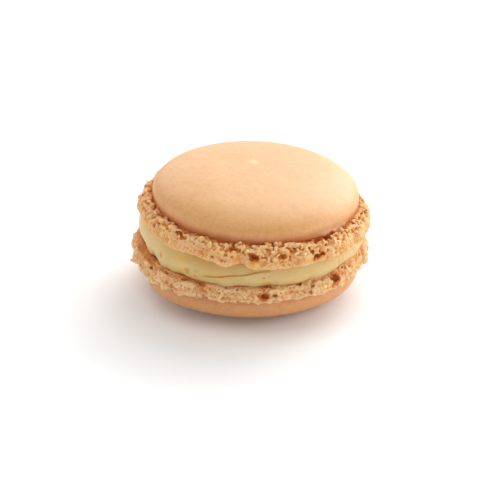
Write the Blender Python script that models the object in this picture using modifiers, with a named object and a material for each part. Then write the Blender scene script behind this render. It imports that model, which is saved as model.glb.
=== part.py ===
"""A french macaron: two almond meringue shells with ruffled feet around a layer of cream.

Each shell is one baked piece, a smooth dome that stands on a torn, ruffled foot. Both shells
are turned from an outline with their dome upwards and their seat (the side that meets the
cream) at height zero, and their feet are then pushed about into ruffles. The top shell sits on
the cream a little askew, and the bottom shell is turned over, so that it rests on its dome.

Units are metres, +Z is up, and the origin is under the middle of the cookie's base.
"""

import math

import bpy
from mathutils import Matrix, Vector, noise

MM = 0.001
TURN = 2.0 * math.pi

# Driving dimensions of the top shell
TOP_DOME_R = 19.5 * MM
TOP_DOME_RISE = 4.6 * MM
TOP_FOOT_R = 22.1 * MM
TOP_FOOT_H = 4.2 * MM
TOP_FLAT_R = 0.0 * MM
TOP_OFFSET_X = 0.65 * MM
TOP_TILT = math.radians(2.6)

# Driving dimensions of the bottom shell
BOTTOM_DOME_R = 20.7 * MM
BOTTOM_DOME_RISE = 5.1 * MM
BOTTOM_FOOT_R = 22.4 * MM
BOTTOM_FOOT_H = 3.2 * MM
BOTTOM_WALL_H = 1.2 * MM
BOTTOM_FLAT_R = 6.5 * MM
BOTTOM_OFFSET_X = -0.2 * MM

# Driving dimensions of the cream
CREAM_R = 21.5 * MM
CREAM_H = 3.6 * MM
CREAM_LIP = 0.7 * MM
CREAM_OFFSET_X = 0.1 * MM
CREAM_FULLNESS = 0.8

GAP = 0.3 * MM
TOP_DOME_POWER = 2.85
BOTTOM_DOME_POWER = 3.1

# The crevice where a dome meets its foot: how far in it lies, its depth and the ridge's drop
CREVICE_IN = 0.35 * MM
CREVICE_DEPTH = 0.55 * MM
RIDGE_DROP = 0.45 * MM

# Fineness of the turned meshes
STEPS = 108
DOME_POINTS = 9
CREAM_POINTS = 6

# Ruffles of the two feet: waves round the rim, how far they push out, and where they start
TOP_RUFFLES = ((3, 0.20, 0.4), (7, 0.16, 1.9), (11, 0.18, 4.1), (17, 0.15, 2.2), (26, 0.12, 0.7))
BOTTOM_RUFFLES = ((2, 0.16, 1.1), (5, 0.17, 3.0), (9, 0.20, 0.2), (16, 0.16, 5.1), (23, 0.14, 2.6))
CRUMB_SIZE = 1.9 * MM
CRUMB_PUSH = 0.32 * MM
LIFT_SHARE = 0.9
TOP_SEED = 2.9
BOTTOM_SEED = 7.3

# Waves in the side of the cream, listed as the ruffles are
CREAM_WAVES = ((2, 0.12, 0.8), (5, 0.08, 0.0))

# Slow bulges of the feet: middle and spread in degrees seen from above, how far they push out,
# and how far they carry the side of the foot towards the dome, in millimetres
TOP_BULGES = ((330.0, 26.0, 0.75, -0.75), (20.0, 24.0, -0.75, -0.30), (170.0, 40.0, 0.0, 0.25))
BOTTOM_BULGES = ((198.0, 34.0, 0.15, 1.15), (342.0, 34.0, 0.15, 1.15), (270.0, 30.0, -0.15, -0.1))

# Colours as linear RGB, and roughness
SHELL_LOOK = ((0.86, 0.58, 0.33), 0.62)
BASE_LOOK = ((0.74, 0.44, 0.23), 0.65)
CREAM_LOOK = ((0.78, 0.66, 0.33), 0.55)


def clear_scene():
    """Remove every object that is in the scene."""
    for old in list(bpy.data.objects):
        bpy.data.objects.remove(old, do_unlink=True)


def smooth_step(low, high, value):
    """Rise smoothly from 0 at low to 1 at high."""
    t = min(1.0, max(0.0, (value - low) / (high - low)))
    return t * t * (3.0 - 2.0 * t)


def dome_outline(radius, base_z, rise, power, flat_r):
    """Points of a flattened dome from its top down to its rim, with a level spot on top."""
    top = rise * (1.0 - (flat_r / radius) ** power) ** (1.0 / power)
    points = [(0.0, base_z + top)]
    if flat_r > 0.0:
        points.append((flat_r, base_z + top))
    for i in range(1, DOME_POINTS + 1):
        t = 0.5 * math.pi * i / DOME_POINTS
        r = radius * math.sin(t) ** (2.0 / power)
        z = rise * max(0.0, math.cos(t)) ** (2.0 / power)
        if r > flat_r:
            points.append((r, base_z + z))
    return points


def foot_outline(dome_r, foot_r, foot_h):
    """Points of a foot: crevice under the dome, torn ridge, bulging side and lower lip."""
    width = foot_r - dome_r
    return [
        (dome_r - CREVICE_IN, foot_h - CREVICE_DEPTH),
        (dome_r + 0.30 * width, foot_h - 0.5 * (CREVICE_DEPTH + RIDGE_DROP)),
        (dome_r + 0.55 * width, foot_h - RIDGE_DROP),
        (dome_r + 0.82 * width, 0.72 * foot_h),
        (foot_r, 0.46 * foot_h),
        (foot_r - 0.06 * width, 0.22 * foot_h),
        (foot_r - 0.30 * width, 0.05 * foot_h),
        (foot_r - 0.60 * width, 0.0),
        (0.55 * dome_r, 0.0),
        (0.0, 0.0),
    ]


def cream_outline():
    """Points of the cream: a thick disc whose side swells out between the shells."""
    points = [(0.0, CREAM_H)]
    inner_r = CREAM_R - CREAM_LIP
    for i in range(CREAM_POINTS + 1):
        t = math.pi * (0.5 - i / CREAM_POINTS)
        swell = max(0.0, math.cos(t)) ** CREAM_FULLNESS
        points.append((inner_r + CREAM_LIP * swell, 0.5 * CREAM_H * (1.0 + math.sin(t))))
    points.append((0.0, 0.0))
    return points


def turn(name, outline):
    """Turn an outline, listed from top to bottom, about the Z axis into a closed mesh."""
    mesh = bpy.data.meshes.new(name + "_outline")
    verts = [(r, 0.0, z) for r, z in outline]
    edges = [(i, i + 1) for i in range(len(verts) - 1)]
    mesh.from_pydata(verts, edges, [])
    obj = bpy.data.objects.new(name + "_outline", mesh)
    bpy.context.scene.collection.objects.link(obj)
    screw = obj.modifiers.new("turn", "SCREW")
    screw.axis = "Z"
    screw.angle = TURN
    screw.steps = STEPS
    screw.render_steps = STEPS
    screw.use_merge_vertices = True
    screw.merge_threshold = 0.00001
    screw.use_normal_calculate = True
    bpy.context.view_layer.update()
    graph = bpy.context.evaluated_depsgraph_get()
    turned = bpy.data.meshes.new_from_object(obj.evaluated_get(graph))
    turned.name = name
    bpy.data.objects.remove(obj, do_unlink=True)
    bpy.data.meshes.remove(mesh)
    return turned


def wave_at(waves, angle):
    """Sum the waves round a rim at one angle, in metres."""
    return MM * sum(push * math.sin(count * angle + start) for count, push, start in waves)


def bulge_at(bulges, angle):
    """Sum the slow bulges of a foot at one angle, as a push out and a shift up, in metres."""
    push = 0.0
    shift = 0.0
    for middle, spread, out, up in bulges:
        away = math.remainder(angle - math.radians(middle), TURN) / math.radians(spread)
        share = math.exp(-away * away)
        push += MM * out * share
        shift += MM * up * share
    return push, shift


def ruffle_foot(mesh, dome_r, foot_r, foot_h, ruffles, bulges, seed):
    """Push the foot of a turned shell in and out, and lift parts of its lower edge."""
    offset = Vector((seed, 2.0 * seed, -seed))
    for vert in mesh.vertices:
        x, y, z = vert.co
        r = math.hypot(x, y)
        if r < 1e-6 or z > foot_h - 0.1 * MM:
            continue
        angle = math.atan2(y, x)
        share = smooth_step(dome_r - 0.6 * MM, foot_r, r)
        crumb = CRUMB_PUSH * noise.noise(vert.co / CRUMB_SIZE + offset)
        crumb += 0.5 * CRUMB_PUSH * noise.noise(2.3 * vert.co / CRUMB_SIZE - offset)
        bulge, shift = bulge_at(bulges, angle)
        push = share * (wave_at(ruffles, angle) + crumb + bulge)
        lift = LIFT_SHARE * share * abs(wave_at(ruffles, angle + 1.3))
        vert.co.x += push * x / r
        vert.co.y += push * y / r
        vert.co.z += lift if z < 0.6 * foot_h else crumb * share
        vert.co.z += shift * share * share


def swell_cream(mesh):
    """Give the side of the cream a slow, uneven swell, and wedge it to suit the top shell."""
    slope = math.tan(TOP_TILT)
    for vert in mesh.vertices:
        x, y, z = vert.co
        r = math.hypot(x, y)
        share = smooth_step(CREAM_R - 1.5 * CREAM_LIP, CREAM_R, r)
        if r > 1e-6:
            angle = math.atan2(y, x)
            push = wave_at(CREAM_WAVES, angle)
            vert.co.x += share * push * x / r
            vert.co.y += share * push * y / r
        vert.co.z -= slope * x * z / CREAM_H


def make_material(name, look):
    """Make a plain baked or creamy material."""
    colour, roughness = look
    material = bpy.data.materials.new(name)
    material.use_nodes = True
    shader = material.node_tree.nodes["Principled BSDF"]
    shader.inputs["Base Color"].default_value = (*colour, 1.0)
    shader.inputs["Roughness"].default_value = roughness
    shader.inputs["Metallic"].default_value = 0.0
    material.diffuse_color = (*colour, 1.0)
    return material


def place(mesh, material, collection, matrix):
    """Link a finished mesh as an object, moved to where it sits in the cookie."""
    mesh.transform(matrix)
    mesh.shade_smooth()
    mesh.materials.clear()
    mesh.materials.append(material)
    obj = bpy.data.objects.new(mesh.name, mesh)
    collection.objects.link(obj)
    return obj


def make_bottom_shell(collection):
    """Make the bottom shell, dome down, resting on its level spot."""
    dome_z = BOTTOM_FOOT_H + BOTTOM_WALL_H
    outline = dome_outline(BOTTOM_DOME_R, dome_z, BOTTOM_DOME_RISE, BOTTOM_DOME_POWER, BOTTOM_FLAT_R)
    height = outline[0][1]
    outline += foot_outline(BOTTOM_DOME_R, BOTTOM_FOOT_R, BOTTOM_FOOT_H)
    mesh = turn("bottom_shell", outline)
    bulges = [(-middle, spread, out, up) for middle, spread, out, up in BOTTOM_BULGES]
    ruffle_foot(mesh, BOTTOM_DOME_R, BOTTOM_FOOT_R, BOTTOM_FOOT_H, BOTTOM_RUFFLES, bulges, BOTTOM_SEED)
    flip = Matrix.Rotation(math.pi, 4, "X")
    seat = Matrix.Translation((BOTTOM_OFFSET_X, 0.0, height))
    place(mesh, make_material("baked_base", BASE_LOOK), collection, seat @ flip)
    return height


def make_filling(collection, seat_z):
    """Make the cream, a wedge that is thicker on the left."""
    mesh = turn("filling", cream_outline())
    swell_cream(mesh)
    spot = Matrix.Translation((CREAM_OFFSET_X, 0.0, seat_z + GAP))
    place(mesh, make_material("cream", CREAM_LOOK), collection, spot)
    return seat_z + GAP + CREAM_H


def make_top_shell(collection, cream_z):
    """Make the top shell, dome up, leaning with the top of the cream."""
    outline = dome_outline(TOP_DOME_R, TOP_FOOT_H, TOP_DOME_RISE, TOP_DOME_POWER, TOP_FLAT_R)
    outline += foot_outline(TOP_DOME_R, TOP_FOOT_R, TOP_FOOT_H)
    mesh = turn("top_shell", outline)
    ruffle_foot(mesh, TOP_DOME_R, TOP_FOOT_R, TOP_FOOT_H, TOP_RUFFLES, TOP_BULGES, TOP_SEED)
    lean = Matrix.Rotation(TOP_TILT, 4, "Y")
    drop = math.tan(TOP_TILT) * (TOP_OFFSET_X - CREAM_OFFSET_X)
    seat = Matrix.Translation((TOP_OFFSET_X, 0.0, cream_z + GAP - drop))
    place(mesh, make_material("baked_shell", SHELL_LOOK), collection, seat @ lean)


def centre_on_base(collection):
    """Move the whole cookie so that the middle of its box's base is the origin."""
    corners = [v.co for obj in collection.objects for v in obj.data.vertices]
    low = [min(c[i] for c in corners) for i in range(3)]
    high = [max(c[i] for c in corners) for i in range(3)]
    middle = Vector((0.5 * (low[0] + high[0]), 0.5 * (low[1] + high[1]), low[2]))
    for obj in collection.objects:
        obj.data.transform(Matrix.Translation(-middle))


def main():
    """Build the macaron from its base to its top."""
    clear_scene()
    collection = bpy.data.collections.new("french_macaron")
    bpy.context.scene.collection.children.link(collection)
    seat_z = make_bottom_shell(collection)
    cream_z = make_filling(collection, seat_z)
    make_top_shell(collection, cream_z)
    centre_on_base(collection)


main()
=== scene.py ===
"""The finish of a french macaron: baked shells, torn feet and cream, around the fixed frame.

Each shell is made of a smooth, turned dome and a foot. A foot is a ring of torn meringue foam,
worked out as a field of distances in rings and heights, which is then skinned with faces. The
cream is a turned disc with the marks that spreading and pressing leave in its side. Lengths are
in metres; the parts of a shell are worked out dome up, with its seat on the cream at height 0.
"""

import logging
import math
from dataclasses import dataclass, field
from enum import Enum
from typing import Sequence

import bpy
import numpy as np
from mathutils import Matrix, Vector


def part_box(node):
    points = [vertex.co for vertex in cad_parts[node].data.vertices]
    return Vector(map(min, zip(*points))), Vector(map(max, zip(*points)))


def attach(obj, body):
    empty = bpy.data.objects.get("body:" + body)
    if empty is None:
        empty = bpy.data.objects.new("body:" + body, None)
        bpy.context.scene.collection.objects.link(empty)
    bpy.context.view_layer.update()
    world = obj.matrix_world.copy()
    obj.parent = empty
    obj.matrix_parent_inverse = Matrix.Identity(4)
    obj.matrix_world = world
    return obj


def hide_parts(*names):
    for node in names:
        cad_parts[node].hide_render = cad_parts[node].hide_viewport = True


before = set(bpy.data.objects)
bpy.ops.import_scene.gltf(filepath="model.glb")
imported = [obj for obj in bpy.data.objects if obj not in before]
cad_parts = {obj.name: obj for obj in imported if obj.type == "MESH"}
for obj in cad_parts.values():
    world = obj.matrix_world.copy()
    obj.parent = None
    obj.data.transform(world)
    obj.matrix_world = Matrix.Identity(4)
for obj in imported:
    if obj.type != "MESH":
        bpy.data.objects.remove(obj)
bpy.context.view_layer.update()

MM = 0.001
TURN = 2.0 * math.pi
MAP_NAME = "OFBake"
TINY = 1e-9  # keeps a divisor away from 0

Colour = tuple[float, float, float]
Ruffle = tuple[int, float, float]  # waves round the foot, push in millimetres, start in radians

log = logging.getLogger("macaron")


class Shell(Enum):
    """Which of the two baked shells a part belongs to."""

    TOP = "top"
    BOTTOM = "bottom"


class Mark(Enum):
    """How a small ellipsoid changes a field: it takes foam away, or adds a crumb."""

    HOLE = "hole"
    CRUMB = "crumb"


# ---------------------------------------------------------------------------------------------
# Random fields


class SmoothNoise:
    """Smooth random values from -1 to 1 that fill space."""

    SIDE = 64
    LAYER_SHIFT = 7.7 * MM

    def __init__(self, seed: int) -> None:
        """Fill the lattice with seeded values."""
        rng = np.random.default_rng(seed)
        self.values = rng.uniform(-1.0, 1.0, self.SIDE**3).astype(np.float32)

    def at(self, points: np.ndarray, cell: float) -> np.ndarray:
        """Read the noise.

        Args:
            points: places, one row each.
            cell: size of one bump.

        Returns:
            One value for each place.
        """
        scaled = points / cell
        base = np.floor(scaled)
        part = (scaled - base).astype(np.float32)
        part = part * part * (3.0 - 2.0 * part)
        low = base.astype(np.int64) & (self.SIDE - 1)
        high = (low + 1) & (self.SIDE - 1)
        total = np.zeros(len(points), np.float32)
        for i in (0, 1):
            x = (high if i else low)[:, 0] * self.SIDE
            wx = part[:, 0] if i else 1.0 - part[:, 0]
            for j in (0, 1):
                y = (x + (high if j else low)[:, 1]) * self.SIDE
                wy = wx * (part[:, 1] if j else 1.0 - part[:, 1])
                for k in (0, 1):
                    wz = part[:, 2] if k else 1.0 - part[:, 2]
                    total += wy * wz * self.values[y + (high if k else low)[:, 2]]
        return total

    def layers(self, points: np.ndarray, cell: float, count: int) -> np.ndarray:
        """Add up layers of noise, each half as large and half as strong as the last.

        Args:
            points: places, one row each.
            cell: size of the largest bumps.
            count: how many layers.

        Returns:
            One value for each place.
        """
        total = np.zeros(len(points), np.float32)
        for level in range(count):
            total += self.at(points + self.LAYER_SHIFT * level, cell / 2**level) / 2**level
        return total


class CellNoise:
    """Distances to points strewn through space, which read as rounded crumbs."""

    SIDE = 32
    STRETCH = 1.4
    OFFSET = 0.4

    def __init__(self, seed: int) -> None:
        """Strew one point in each cell."""
        rng = np.random.default_rng(seed)
        self.spots = rng.uniform(0.05, 0.95, (self.SIDE**3, 3)).astype(np.float32)

    def rounds(self, points: np.ndarray, cell: float) -> np.ndarray:
        """Rounded lumps with sharp creases between them.

        Args:
            points: places, one row each.
            cell: size of one cell.

        Returns:
            The squared distance to the nearest strewn point, spread about 0: low in a lump.
        """
        scaled = (points / cell).astype(np.float32)
        base = np.floor(scaled)
        part = scaled - base
        base = base.astype(np.int64)
        first = np.full(len(points), 9.0, np.float32)
        for step in np.ndindex(3, 3, 3):
            shift = np.array(step) - 1
            at = (base + shift) & (self.SIDE - 1)
            row = (at[:, 0] * self.SIDE + at[:, 1]) * self.SIDE + at[:, 2]
            gap = self.spots[row] + shift.astype(np.float32) - part
            first = np.minimum(first, np.einsum("ij,ij->i", gap, gap))
        return self.STRETCH * first - self.OFFSET


def smooth_step(low: float, high: float, value: np.ndarray) -> np.ndarray:
    """Rise smoothly from 0 at low to 1 at high."""
    t = np.clip((value - low) / (high - low), 0.0, 1.0)
    return t * t * (3.0 - 2.0 * t)


def soft_max(a: np.ndarray, b: np.ndarray, blend: float) -> np.ndarray:
    """The larger of two values, with the change between them rounded."""
    return 0.5 * (a + b + np.sqrt((a - b) ** 2 + blend * blend))


def soft_min(a: np.ndarray, b: np.ndarray, blend: float) -> np.ndarray:
    """The smaller of two values, with the change between them rounded."""
    return 0.5 * (a + b - np.sqrt((a - b) ** 2 + blend * blend))


def angle_gap(angle: np.ndarray, middle: float) -> np.ndarray:
    """Signed way round from a middle angle, in radians."""
    return (angle - middle + math.pi) % TURN - math.pi


# ---------------------------------------------------------------------------------------------
# Meshes


@dataclass
class Skin:
    """A finished surface: its places, faces, named values and flat map."""

    places: np.ndarray
    faces: np.ndarray
    values: dict[str, np.ndarray] = field(default_factory=dict)
    corners: np.ndarray | None = None

    def as_object(self, name: str, matrix: Matrix) -> bpy.types.Object:
        """Make a Blender object of the surface.

        Args:
            name: the piece's name.
            matrix: moves the surface to where it sits in the cookie.

        Returns:
            The new object, with its place in its mesh.
        """
        mesh = bpy.data.meshes.new(name)
        mesh.vertices.add(len(self.places))
        mesh.vertices.foreach_set("co", self.places.astype(np.float32).ravel())
        mesh.loops.add(self.faces.size)
        mesh.loops.foreach_set("vertex_index", self.faces.astype(np.int32).ravel())
        mesh.polygons.add(len(self.faces))
        starts = np.arange(0, self.faces.size, self.faces.shape[1], dtype=np.int32)
        mesh.polygons.foreach_set("loop_start", starts)
        for key, value in self.values.items():
            layer = mesh.attributes.new(key, "FLOAT", "POINT")
            layer.data.foreach_set("value", value.astype(np.float32))
        if self.corners is not None:
            flat = mesh.uv_layers.new(name=MAP_NAME)
            flat.data.foreach_set("uv", self.corners.astype(np.float32).ravel())
        mesh.update(calc_edges=True)
        mesh.validate()
        mesh.transform(matrix)
        mesh.shade_smooth()
        obj = bpy.data.objects.new(name, mesh)
        bpy.context.scene.collection.objects.link(obj)
        return obj


def fold_map(angle: np.ndarray, across: np.ndarray, faces: np.ndarray, rows: int) -> np.ndarray:
    """Lay a ring out flat as a few rows of equal length, so that it fills a square map.

    Args:
        angle: way round the ring for each place, in radians.
        across: way across the ring's skin for each place, from 0 to 1.
        faces: the corners of each face.
        rows: how many rows.

    Returns:
        The flat place of each corner of each face.
    """
    turn = (angle[faces] / TURN) % 1.0
    first = turn[:, :1]
    turn = first + (turn - first + 0.5) % 1.0 - 0.5
    middle = turn.mean(axis=1, keepdims=True) % 1.0
    turn = turn - turn.mean(axis=1, keepdims=True) + middle
    row = np.clip(np.floor(middle * rows), 0, rows - 1)
    margin = 0.02
    u = (turn * rows - row) * (1.0 - 2.0 * margin) + margin
    side = across[faces]
    side = side[:, :1] + (side - side[:, :1] + 0.5) % 1.0 - 0.5
    side = np.clip(side, 0.0, 1.0)
    v = (row + margin + side * (1.0 - 2.0 * margin)) / rows
    return np.stack([np.clip(u, 0.0, 1.0), v], axis=-1).reshape(-1, 2)


def turned_faces(rings: int, around: int) -> np.ndarray:
    """Join the points of a turned body: one end, ring after ring, and the other end.

    Args:
        rings: how many rings there are.
        around: how many points a ring has.

    Returns:
        Triangles that face outwards when the rings run downwards.
    """
    i = 1 + np.arange(around)
    j = 1 + (i % around)
    end = (rings - 1) * around
    parts = [np.stack([np.zeros(around, int), i, j], axis=1)]
    for ring in range(rings - 1):
        a = i + ring * around
        b = j + ring * around
        parts.append(np.stack([a, a + around, b + around], axis=1))
        parts.append(np.stack([a, b + around, b], axis=1))
    parts.append(np.stack([np.full(around, 1 + rings * around), end + j, end + i], axis=1))
    return np.concatenate(parts)


CORNERS = np.array(list(np.ndindex(2, 2, 2)))
EDGES = [
    (a, b)
    for a in range(8)
    for b in range(a + 1, 8)
    if np.abs(CORNERS[a] - CORNERS[b]).sum() == 1
]


class RingBlock:
    """A block of foam in the shape of a ring, held as distances to its skin.

    The first axis of the field goes round, the second outwards and the third up.
    """

    RAGGED = {Mark.HOLE: 1.0, Mark.CRUMB: 0.15}  # how ragged a mark's edge is
    REACH = 1.8  # how far a mark is felt, in half sizes
    WAY = 1.08  # the points' distance round the outer edge, in pitches
    FILLED = -0.2  # depth of a filled point, in pitches

    def __init__(self, inner: float, outer: float, low: float, high: float, pitch: float) -> None:
        """Lay out the ring's grid.

        Args:
            inner: least radius.
            outer: greatest radius.
            low: least height.
            high: greatest height.
            pitch: distance between neighbouring points.
        """
        self.pitch = pitch
        self.around = int(round(TURN * outer / (self.WAY * pitch)))
        self.angle = np.arange(self.around) * TURN / self.around
        self.radius = np.arange(inner, outer, pitch)
        self.height = np.arange(low, high, pitch)
        self.shape = (self.around, len(self.radius), len(self.height))
        self.field = np.zeros(self.shape, np.float32)
        self.ragged = np.zeros(self.shape, np.float32)

    def grids(self) -> tuple[np.ndarray, np.ndarray, np.ndarray]:
        """The angle, radius and height of each point, ready to be combined."""
        return self.angle[:, None, None], self.radius[None, :, None], self.height[None, None, :]

    def places(self, where: np.ndarray) -> np.ndarray:
        """Work out where the points of the grid are.

        Args:
            where: a mask that picks the points.

        Returns:
            Their places, one row each.
        """
        i, j, k = np.nonzero(where)
        r = self.radius[j]
        a = self.angle[i]
        return np.stack([r * np.cos(a), r * np.sin(a), self.height[k]], axis=1)

    def stamp(self, spot: Sequence[float], radii: Sequence[float], mark: Mark, blend: float) -> None:
        """Take a ragged ellipsoid out of the foam, or add one to it.

        Args:
            spot: its angle, radius and height.
            radii: its half sizes round, outwards and up.
            mark: hole or crumb.
            blend: how far the change is rounded.
        """
        angle, radius, height = spot
        half = self.REACH * radii[0] / radius
        wide = self.REACH * radii[1]
        tall = self.REACH * radii[2]
        first = int(math.floor((angle - half) / TURN * self.around))
        last = int(math.ceil((angle + half) / TURN * self.around))
        i = np.arange(first, last + 1)
        j0, j1 = np.searchsorted(self.radius, [radius - wide, radius + wide])
        k0, k1 = np.searchsorted(self.height, [height - tall, height + tall])
        if j1 <= j0 or k1 <= k0:
            return
        turn = i * TURN / self.around - angle
        across = (turn * radius / radii[0])[:, None, None]
        out = ((self.radius[j0:j1] - radius) / radii[1])[None, :, None]
        up = ((self.height[k0:k1] - height) / radii[2])[None, None, :]
        i = i % self.around
        rag = self.RAGGED[mark] * self.ragged[i, j0:j1, k0:k1]
        far = (np.sqrt(across**2 + out**2 + up**2) - 1.0 + rag) * min(radii)
        part = self.field[i, j0:j1, k0:k1]
        if mark is Mark.HOLE:
            part = soft_max(part, -far, blend)
        else:
            part = soft_min(part, far, blend)
        self.field[i, j0:j1, k0:k1] = part

    def crowding(self, reach: int) -> np.ndarray:
        """Work out how much foam is around each point: much in pits and little on crumbs.

        Args:
            reach: how many points to look each way.

        Returns:
            The share of foam, from 0 to 1.
        """
        full = (self.field < 0.0).astype(np.float32)
        for axis, loops in ((0, True), (1, False), (2, False)):
            mode = "wrap" if loops else "edge"
            pads = [(0, 0)] * 3
            pads[axis] = (reach + 1, reach)
            total = np.cumsum(np.pad(full, pads, mode=mode), axis=axis, dtype=np.float64)
            count = full.shape[axis]
            high = np.take(total, np.arange(2 * reach + 1, 2 * reach + 1 + count), axis=axis)
            low = np.take(total, np.arange(0, count), axis=axis)
            full = ((high - low) / (2 * reach + 1)).astype(np.float32)
        return full

    def read(self, values: np.ndarray, spots: np.ndarray) -> np.ndarray:
        """Read a grid of values at the nearest points.

        Args:
            values: the grid of values.
            spots: places in grid steps.

        Returns:
            One value for each place.
        """
        whole = np.rint(spots).astype(np.int64)
        whole[:, 0] %= self.around
        whole[:, 1] = np.clip(whole[:, 1], 0, values.shape[1] - 1)
        whole[:, 2] = np.clip(whole[:, 2], 0, values.shape[2] - 1)
        return values[whole[:, 0], whole[:, 1], whole[:, 2]]

    def join_corners(self) -> None:
        """Fill each square whose foam only meets across its corners, so that the skin is closed."""
        while True:
            inside = self.field < 0.0
            fill = np.zeros(self.shape, bool)
            for u, v in ((0, 1), (0, 2), (1, 2)):
                beside = np.roll(inside, -1, axis=u)
                above = np.roll(inside, -1, axis=v)
                across = np.roll(beside, -1, axis=v)
                rising = inside & across & ~beside & ~above
                falling = beside & above & ~inside & ~across
                fill |= np.roll(rising, 1, axis=u) | np.roll(rising, 1, axis=v)
                fill |= falling | np.roll(falling, (1, 1), axis=(u, v))
            if not fill.any():
                return
            self.field[fill] = self.FILLED * self.pitch

    def skin(self) -> tuple[np.ndarray, np.ndarray]:
        """Stretch faces over the foam where the field changes sign.

        Returns:
            The places of the points in grid steps, and the corners of each face.
        """
        self.join_corners()
        full = np.concatenate([self.field, self.field[:1]], axis=0)
        inside = full < 0.0
        count = np.zeros(tuple(n - 1 for n in full.shape), np.int8)
        for a, b, c in CORNERS:
            count += inside[a : a + count.shape[0], b : b + count.shape[1], c : c + count.shape[2]]
        active = (count > 0) & (count < 8)
        cells = np.argwhere(active)
        index = np.full(active.shape, -1, np.int64)
        index[active] = np.arange(len(cells))
        total = np.zeros((len(cells), 3))
        hits = np.zeros(len(cells))
        for a, b in EDGES:
            va = full[tuple((cells + CORNERS[a]).T)]
            vb = full[tuple((cells + CORNERS[b]).T)]
            cut = (va < 0.0) != (vb < 0.0)
            t = va[cut] / (va[cut] - vb[cut])
            total[cut] += CORNERS[a] + t[:, None] * (CORNERS[b] - CORNERS[a])
            hits[cut] += 1.0
        spots = cells + total / hits[:, None]
        faces = [self._faces_along(inside, index, axis) for axis in range(3)]
        return spots, np.concatenate(faces)

    def to_steps(self, angle: np.ndarray, radius: np.ndarray, height: np.ndarray) -> np.ndarray:
        """Turn angles, radii and heights into places in grid steps.

        Args:
            angle: way round, from 0 to a full turn.
            radius: distance from the axis.
            height: height.

        Returns:
            The places in grid steps, one row each.
        """
        turn = angle / TURN * self.around
        out = (radius - self.radius[0]) / self.pitch
        return np.stack([turn, out, (height - self.height[0]) / self.pitch], axis=1)

    def _faces_along(self, inside: np.ndarray, index: np.ndarray, axis: int) -> np.ndarray:
        """Make the faces that cross the grid's lines along one axis.

        Args:
            inside: which points are in the foam, with the first slice repeated at the end.
            index: number of each cell's point.
            axis: the lines' axis.

        Returns:
            The corners of each face, pointing out of the foam.
        """
        here = inside[: self.around]
        if axis == 0:
            there = inside[1 : self.around + 1]
        else:
            here = np.take(here, np.arange(here.shape[axis] - 1), axis=axis)
            there = np.take(inside[: self.around], np.arange(1, inside.shape[axis]), axis=axis)
        crossing = np.argwhere(here != there)
        u, v = (axis + 1) % 3, (axis + 2) % 3
        for side in (u, v):
            if side != 0:
                keep = (crossing[:, side] > 0) & (crossing[:, side] < index.shape[side])
                crossing = crossing[keep]
        corners = []
        for du, dv in ((1, 1), (0, 1), (0, 0), (1, 0)):
            cell = crossing.copy()
            cell[:, u] -= du
            cell[:, v] -= dv
            cell[:, 0] %= self.around
            corners.append(index[tuple(cell.T)])
        quads = np.stack(corners, axis=1)
        outward = here[tuple(crossing.T)]
        quads[outward] = quads[outward][:, ::-1]
        return quads

    def to_space(self, spots: np.ndarray) -> np.ndarray:
        """Turn places in grid steps into places in space.

        Args:
            spots: places in grid steps.

        Returns:
            The same places in metres.
        """
        a = spots[:, 0] * TURN / self.around
        r = self.radius[0] + spots[:, 1] * self.pitch
        z = self.height[0] + spots[:, 2] * self.pitch
        return np.stack([r * np.cos(a), r * np.sin(a), z], axis=1)


def largest_body(count: int, faces: np.ndarray) -> np.ndarray:
    """Mark the points of the largest joined body of faces.

    Args:
        count: how many points there are.
        faces: the corners of each face.

    Returns:
        True for each point that belongs to it.
    """
    label = np.arange(count)
    while True:
        least = label[faces].min(axis=1)
        fresh = label.copy()
        for corner in range(faces.shape[1]):
            np.minimum.at(fresh, faces[:, corner], least)
        fresh = fresh[fresh]
        if np.array_equal(fresh, label):
            break
        label = fresh
    sizes = np.bincount(label, minlength=count)
    return label == sizes.argmax()


def relax(places: np.ndarray, faces: np.ndarray, share: float, rounds: int) -> np.ndarray:
    """Ease each point towards the middle of its neighbours.

    Args:
        places: the points.
        faces: the corners of each face.
        share: how far each point goes.
        rounds: how often.

    Returns:
        The eased points.
    """
    a = faces.ravel()
    b = np.roll(faces, -1, axis=1).ravel()
    count = np.bincount(a, minlength=len(places)) + np.bincount(b, minlength=len(places))
    for _ in range(rounds):
        middle = np.empty_like(places)
        for axis in range(3):
            total = np.bincount(a, places[b, axis], len(places))
            total += np.bincount(b, places[a, axis], len(places))
            middle[:, axis] = total / np.maximum(count, 1)
        places = places + share * (middle - places)
    return places


# ---------------------------------------------------------------------------------------------
# Finishes


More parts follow.
